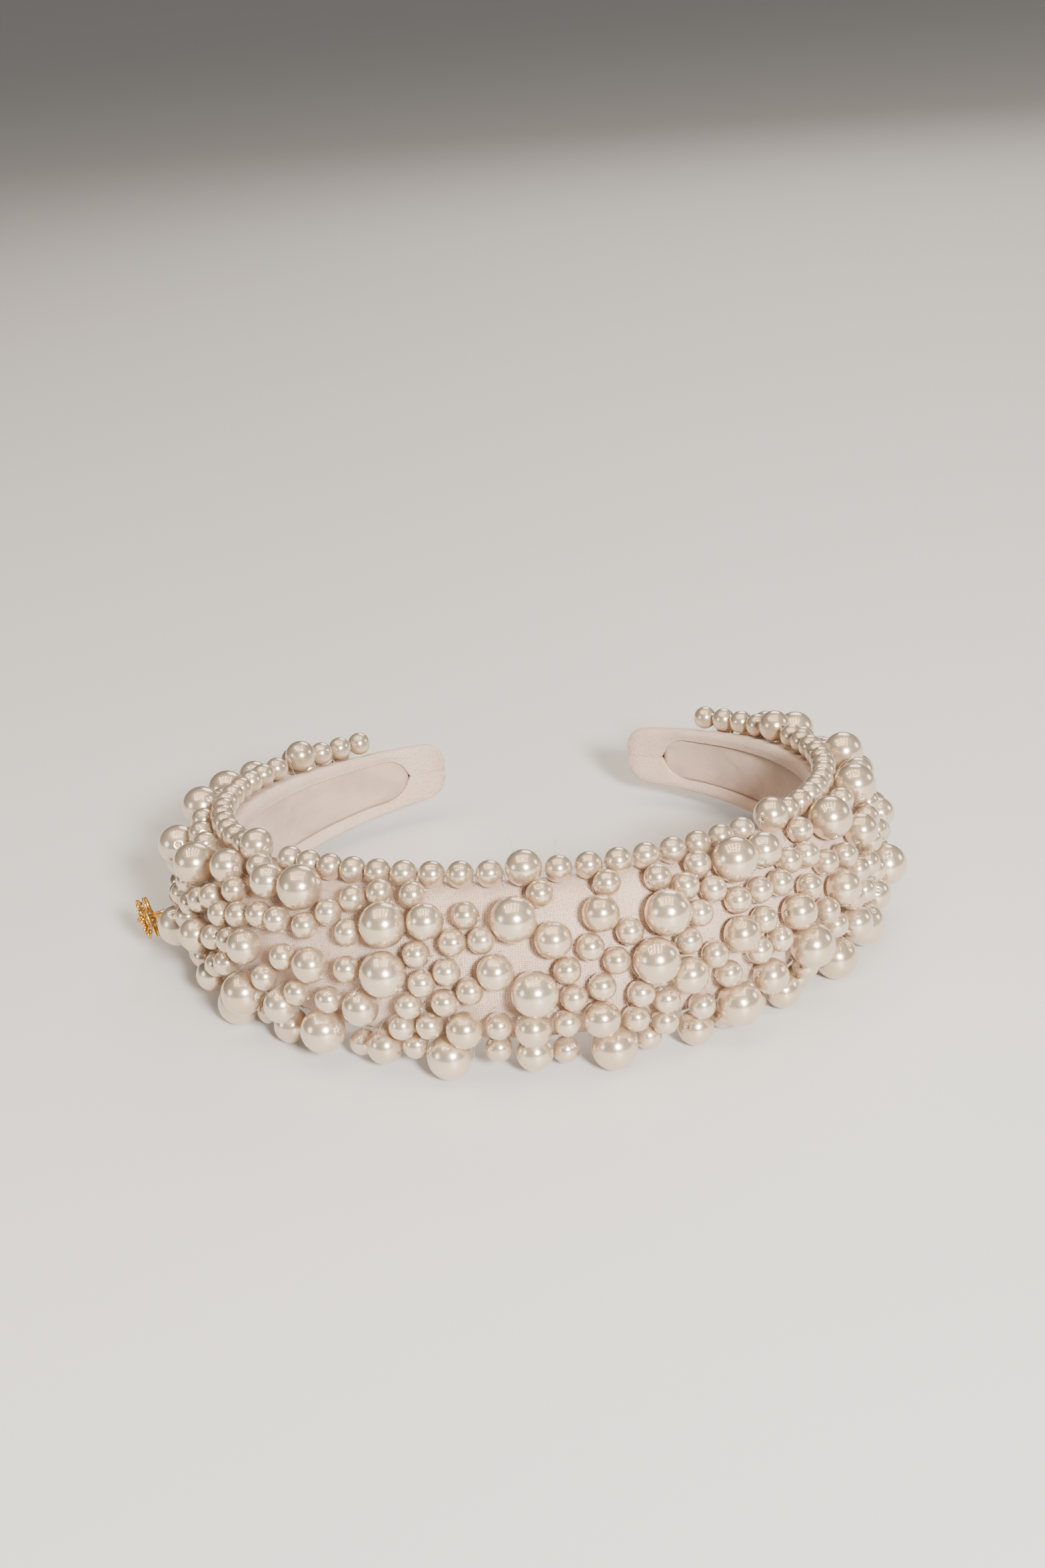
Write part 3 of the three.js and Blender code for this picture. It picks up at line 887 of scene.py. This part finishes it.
def curve_through(points, steps):
    """Catmull-Rom points through a short list."""
    points = [np.asarray(p, float) for p in points]
    padded = [2 * points[0] - points[1], *points, 2 * points[-1] - points[-2]]
    path = []
    for i in range(len(points) - 1):
        a, b, c, d = padded[i:i + 4]
        for k in range(steps):
            t = k / steps
            path.append(0.5 * (2 * b + (c - a) * t + (2 * a - 5 * b + 4 * c - d) * t * t
                               + (3 * b - a - 3 * c + d) * t**3))
    path.append(points[-1])
    return path


def make_threads():
    parts = []
    for bead in EVERY_BEAD:
        for path in thread_ends(bead):
            parts.append(tube(curve_through(path, 3), 0.07, 5))
    new_object("sewing_thread", *merged(parts), nylon_material(), "pearl_shell")


def make_loose_ends():
    """Cut thread ends that stand up behind the middle pearls of the upper row."""
    parts = []
    for deg, lean, length in ((-1.6, -0.9, 3.4), (5.6, 0.5, 2.2)):
        foot = on_band(deg * DEG, 84 * DEG, 0.1)
        along = place((deg + 1) * DEG, 0, 0) - place(deg * DEG, 0, 0)
        along /= np.linalg.norm(along)
        up = np.array([0, 0.2, 1.0])
        points = [foot, foot + up * 5.6, foot + up * (6.4 + 0.5 * length) + along * lean * 0.4,
                  foot + up * (6.4 + length) + along * lean]
        parts.append(tube(curve_through(points, 6), 0.13, 6))
    new_object("loose_thread_ends", *merged(parts), nylon_material(), "pearl_shell")


# ---- the gold rosette ------------------------------------------------------------------------
def ring_path(radius, centre, tilt, turns=28):
    path = []
    for k in range(turns + 1):
        a = 2 * math.pi * k / turns
        path.append((centre[0] + radius * math.cos(a), centre[1] + radius * math.sin(a),
                     centre[2] + tilt * math.sin(a)))
    return path


def curl_path(turn, start, reach, lift, height):
    """One scroll: out from the middle and curled back on itself."""
    path = []
    for k in range(22):
        t = k / 21
        angle = turn + 0.55 * math.sin(math.pi * t) + 1.15 * t * t
        r = start + (reach - start) * math.sin(min(1.0, t * 1.25) * math.pi / 2)
        r -= 3.3 * max(0.0, t - 0.7)
        path.append((r * math.cos(angle), r * math.sin(angle), height + lift * math.sin(math.pi * t)))
    return path


def small_ball(centre, radius, around=10, rings=6):
    verts = [(centre[0], centre[1], centre[2] + radius)]
    for i in range(1, rings):
        a = math.pi * i / rings
        for k in range(around):
            b = 2 * math.pi * k / around
            verts.append((centre[0] + radius * math.sin(a) * math.cos(b),
                          centre[1] + radius * math.sin(a) * math.sin(b), centre[2] + radius * math.cos(a)))
    verts.append((centre[0], centre[1], centre[2] - radius))
    faces = [(0, 1 + k, 1 + (k + 1) % around) for k in range(around)]
    for i in range(rings - 2):
        for k in range(around):
            a = 1 + i * around + k
            b = 1 + i * around + (k + 1) % around
            faces.append((a, a + around, b + around, b))
    last = len(verts) - 1
    base = last - around
    faces += [(last, base + (k + 1) % around, base + k) for k in range(around)]
    return np.array(verts), faces


def make_rosette():
    """Two layers of wire loops and scrolls round a ring of grains, on a shank sewn to the cover."""
    parts = []
    for i in range(6):
        turn = i * math.pi / 3
        spot = (3.55 * math.cos(turn), 3.55 * math.sin(turn))
        parts.append(tube(ring_path(1.75, (*spot, -0.6), 0.25), 0.33))
        parts.append(tube(ring_path(1.05, (*spot, -0.45), 0.15), 0.2))
        parts.append(small_ball((*spot, -0.4), 0.5))
        parts.append(tube(curl_path(turn + 0.52, 1.2, 4.9, 0.7, 0.75), 0.3))
        tip = turn + 0.95
        parts.append(small_ball((4.2 * math.cos(tip), 4.2 * math.sin(tip), 1.15), 0.55))
    for i in range(10):
        turn = i * math.pi / 5
        parts.append(small_ball((1.6 * math.cos(turn), 1.6 * math.sin(turn), 1.5), 0.45))
    parts.append(small_ball((0, 0, 1.6), 1.25, 16, 10))
    parts.append(tube(ring_path(2.1, (0, 0, 0.35), 0.0), 0.35))
    parts.append(tube([(0, 0, 1.0), (0, 0, -2.0), (0, 0, -5.0), (0, 0, -ROSETTE_STANDOFF + 0.1)], 0.75, 12))
    verts, faces = merged(parts)
    here = on_band(ROSETTE_PHI, ROSETTE_U, 0)
    out = on_band(ROSETTE_PHI, ROSETTE_U, 1) - here
    turned = Vector((0, 0, 1)).rotation_difference(Vector(out)).to_matrix()
    verts = verts @ np.array(turned).T + on_band(ROSETTE_PHI, ROSETTE_U, ROSETTE_STANDOFF)
    rosette = new_object("openwork_rosette", verts, faces, gold_material(), "gold_metal")
    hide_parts("gold_rosette")


# ---- studio ------------------------------------------------------------------------------------
def make_floor():
    mesh = bpy.data.meshes.new("floor")
    mesh.from_pydata([(-20, -20, 0), (20, -20, 0), (20, 20, 0), (-20, 20, 0)], [], [(0, 1, 2, 3)])
    s = Shader("pale_floor", Roughness=0.55)
    s.feed("Base Color", s.mix(s.noise(object_place(s), 3.0), (0.74, 0.73, 0.71, 1), (0.77, 0.76, 0.74, 1)))
    mesh.materials.append(s.material)
    floor = bpy.data.objects.new("floor", mesh)
    bpy.context.scene.collection.objects.link(floor)


def soft_light(name, place_m, size, power, colour):
    data = bpy.data.lights.new(name, "AREA")
    data.shape = "DISK"
    data.size = size
    data.energy = power
    data.color = colour
    light = bpy.data.objects.new(name, data)
    light.location = place_m
    light.rotation_mode = "QUATERNION"
    light.rotation_quaternion = (Vector((0, 0, 0.02)) - Vector(place_m)).to_track_quat("-Z", "Y")
    bpy.context.scene.collection.objects.link(light)


def make_lights():
    soft_light("key", (0.37, -1.07, 0.55), 0.2, 44, (1.0, 0.98, 0.95))
    soft_light("fill_left", (-1.2, -0.55, 0.4), 0.5, 3.5, (0.86, 0.92, 1.0))
    soft_light("fill_back", (0.3, 1.3, 0.9), 0.8, 7, (1.0, 0.94, 0.88))
    soft_light("fill_right", (1.3, 0.2, 0.5), 0.4, 3, (1.0, 0.97, 0.93))
    for row in range(4):
        for column in range(5):
            spot = ((column - 2.3) * 0.36, (row - 1.9) * 0.36, 1.5)
            soft_light(f"ceiling_{row}_{column}", spot, 0.06, 1.0, (1.0, 0.8, 0.58))
    sky = bpy.data.lights.new("overhead", "SUN")
    sky.energy = 0.4
    sky.angle = math.pi / 2
    sky.color = (1.0, 0.97, 0.94)
    bpy.context.scene.collection.objects.link(bpy.data.objects.new("overhead", sky))
    world = bpy.data.worlds.new("studio")
    world.use_nodes = True
    world.node_tree.nodes["Background"].inputs["Color"].default_value = (0.6, 0.57, 0.54, 1)
    world.node_tree.nodes["Background"].inputs["Strength"].default_value = 0.16
    bpy.context.scene.world = world


def make_camera():
    """At the photograph's viewing angle: from the front, a little above, with its slight roll."""
    data = bpy.data.cameras.new("camera")
    data.lens = 50
    data.sensor_width = 36
    data.clip_start = 0.01
    data.clip_end = 60
    camera = bpy.data.objects.new("camera", data)
    yaw, pitch, roll = -2.43 * DEG, 22.0 * DEG, 5.2 * DEG
    ahead = Vector((math.sin(yaw) * math.cos(pitch), math.cos(yaw) * math.cos(pitch), -math.sin(pitch)))
    level = Vector((math.cos(yaw), -math.sin(yaw), 0))
    down = ahead.cross(level)
    right = math.cos(roll) * level + math.sin(roll) * down
    below = -math.sin(roll) * level + math.cos(roll) * down
    turn = Matrix((right, -below, -ahead)).transposed()
    camera.matrix_world = Matrix.Translation((0.023, -0.4791, 0.2332)) @ turn.to_4x4()
    bpy.context.scene.collection.objects.link(camera)
    bpy.context.scene.camera = camera


# ---- assembly --------------------------------------------------------------------------------------
make_camera()
make_floor()
make_lights()
make_cover()
make_foam()
make_lining()
make_pearls()
make_threads()
make_loose_ends()
make_rosette()

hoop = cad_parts["core_hoop"]
hoop.data.materials.clear()
hoop.data.materials.append(plastic_material())
